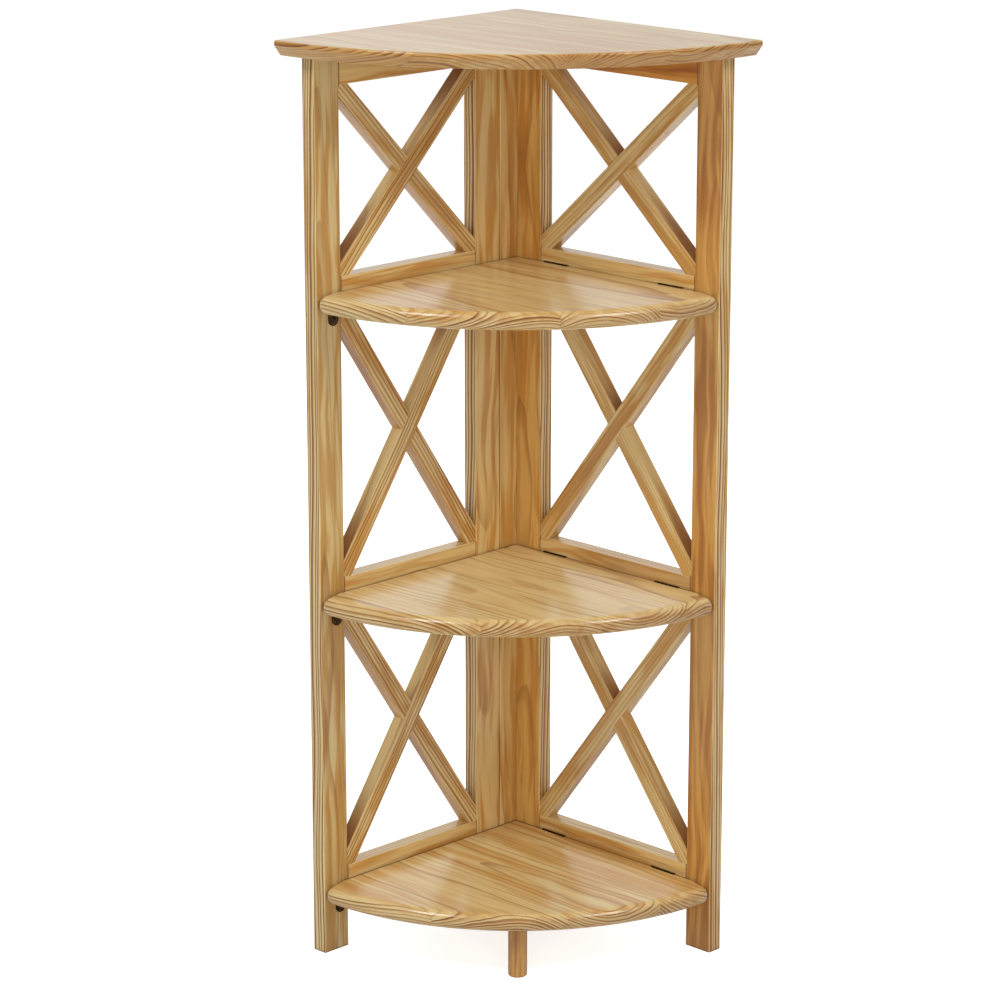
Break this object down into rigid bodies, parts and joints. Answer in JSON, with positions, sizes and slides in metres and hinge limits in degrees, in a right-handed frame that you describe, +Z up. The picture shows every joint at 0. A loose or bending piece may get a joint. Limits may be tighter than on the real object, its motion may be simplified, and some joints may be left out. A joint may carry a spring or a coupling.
{
  "type": "folding corner bookcase",
  "caption": "Quarter-round corner bookcase of clear pine with X-braced side frames on a corner hinge, lift-up hinged shelves and a lift-up top, for storage flat.",
  "frame": {"origin": "on the floor, under the middle of the top board's square outline", "axes": "+Z up; the right frame lies along X at the +Y side, the left frame along Y at the -X side, and the round front faces +X -Y"},
  "size_m": [0.345, 0.345, 0.978],
  "materials": {
    "pine_frame": "clear satin lacquer",
    "pine_brace": "clear satin lacquer",
    "pine_shelf": "clear gloss lacquer",
    "pine_top": "clear gloss lacquer",
    "pine_leg": "clear satin lacquer",
    "beech_dowel": "bare",
    "dark_bronze": "dark bronze",
    "bronze_screw": "dark bronze",
    "steel_pin": "drawn",
    "zinc_screw": "zinc plated"
  },
  "bodies": {
    "right_frame": {"corner_hinge_pins": "steel_pin", "corner_hinge_spacer_leaves": "dark_bronze", "corner_hinge_spacer_screws": "bronze_screw", "corner_spacer": "pine_frame", "right_back_stile": "pine_frame", "right_frame_dowels": "beech_dowel", "right_front_stile": "pine_frame", "right_lower_bay_falling_brace": "pine_brace", "right_lower_bay_rising_brace": "pine_brace", "right_lower_rail": "pine_frame", "right_middle_bay_falling_brace": "pine_brace", "right_middle_bay_rising_brace": "pine_brace", "right_middle_rail": "pine_frame", "right_top_rail": "pine_frame", "right_upper_bay_falling_brace": "pine_brace", "right_upper_bay_rising_brace": "pine_brace", "right_upper_rail": "pine_frame", "shelf_hinge_pins": "steel_pin", "shelf_hinge_rail_leaves": "dark_bronze", "shelf_hinge_rail_screws": "bronze_screw", "spacer_screws": "zinc_screw", "top_hinge_pins": "steel_pin", "top_hinge_rail_leaves": "dark_bronze", "top_hinge_rail_screws": "bronze_screw"},
    "left_frame": {"corner_hinge_stile_leaves": "dark_bronze", "corner_hinge_stile_screws": "bronze_screw", "left_back_stile": "pine_frame", "left_frame_dowels": "beech_dowel", "left_front_stile": "pine_frame", "left_lower_bay_falling_brace": "pine_brace", "left_lower_bay_rising_brace": "pine_brace", "left_lower_rail": "pine_frame", "left_middle_bay_falling_brace": "pine_brace", "left_middle_bay_rising_brace": "pine_brace", "left_middle_rail": "pine_frame", "left_top_rail": "pine_frame", "left_upper_bay_falling_brace": "pine_brace", "left_upper_bay_rising_brace": "pine_brace", "left_upper_rail": "pine_frame", "shelf_rest_screws": "bronze_screw", "shelf_rests": "dark_bronze"},
    "top": {"top_board": "pine_top", "top_hinge_board_leaves": "dark_bronze", "top_hinge_board_screws": "bronze_screw"},
    "upper_shelf": {"upper_shelf_board": "pine_shelf", "upper_shelf_hinge_leaves": "dark_bronze", "upper_shelf_hinge_screws": "bronze_screw"},
    "middle_shelf": {"middle_shelf_board": "pine_shelf", "middle_shelf_hinge_leaves": "dark_bronze", "middle_shelf_hinge_screws": "bronze_screw"},
    "lower_shelf": {"front_leg": "pine_leg", "front_leg_screw": "zinc_screw", "lower_shelf_board": "pine_shelf", "lower_shelf_hinge_leaves": "dark_bronze", "lower_shelf_hinge_screws": "bronze_screw"}
  },
  "joints": [
    {"name": "left_frame_fold", "type": "hinge", "parent": "right_frame", "child": "left_frame", "pos_m": [-0.1475, 0.1221, 0.481], "axis": [0, 0, 1], "range_deg": [0, 0.3]},
    {"name": "top_lift", "type": "hinge", "parent": "right_frame", "child": "top", "pos_m": [0, 0.1658, 0.962], "axis": [-1, 0, 0], "range_deg": [0, 90]},
    {"name": "upper_shelf_lift", "type": "hinge", "parent": "right_frame", "child": "upper_shelf", "pos_m": [0, 0.146, 0.7175], "axis": [-1, 0, 0], "range_deg": [0, 90]},
    {"name": "middle_shelf_lift", "type": "hinge", "parent": "right_frame", "child": "middle_shelf", "pos_m": [0, 0.146, 0.397], "axis": [-1, 0, 0], "range_deg": [0, 90]},
    {"name": "lower_shelf_lift", "type": "hinge", "parent": "right_frame", "child": "lower_shelf", "pos_m": [0, 0.146, 0.0765], "axis": [-1, 0, 0], "range_deg": [0, 90]}
  ],
  "couplings": [
    {"joint": "upper_shelf_lift", "follows": "top_lift", "ratio": 1}
  ]
}
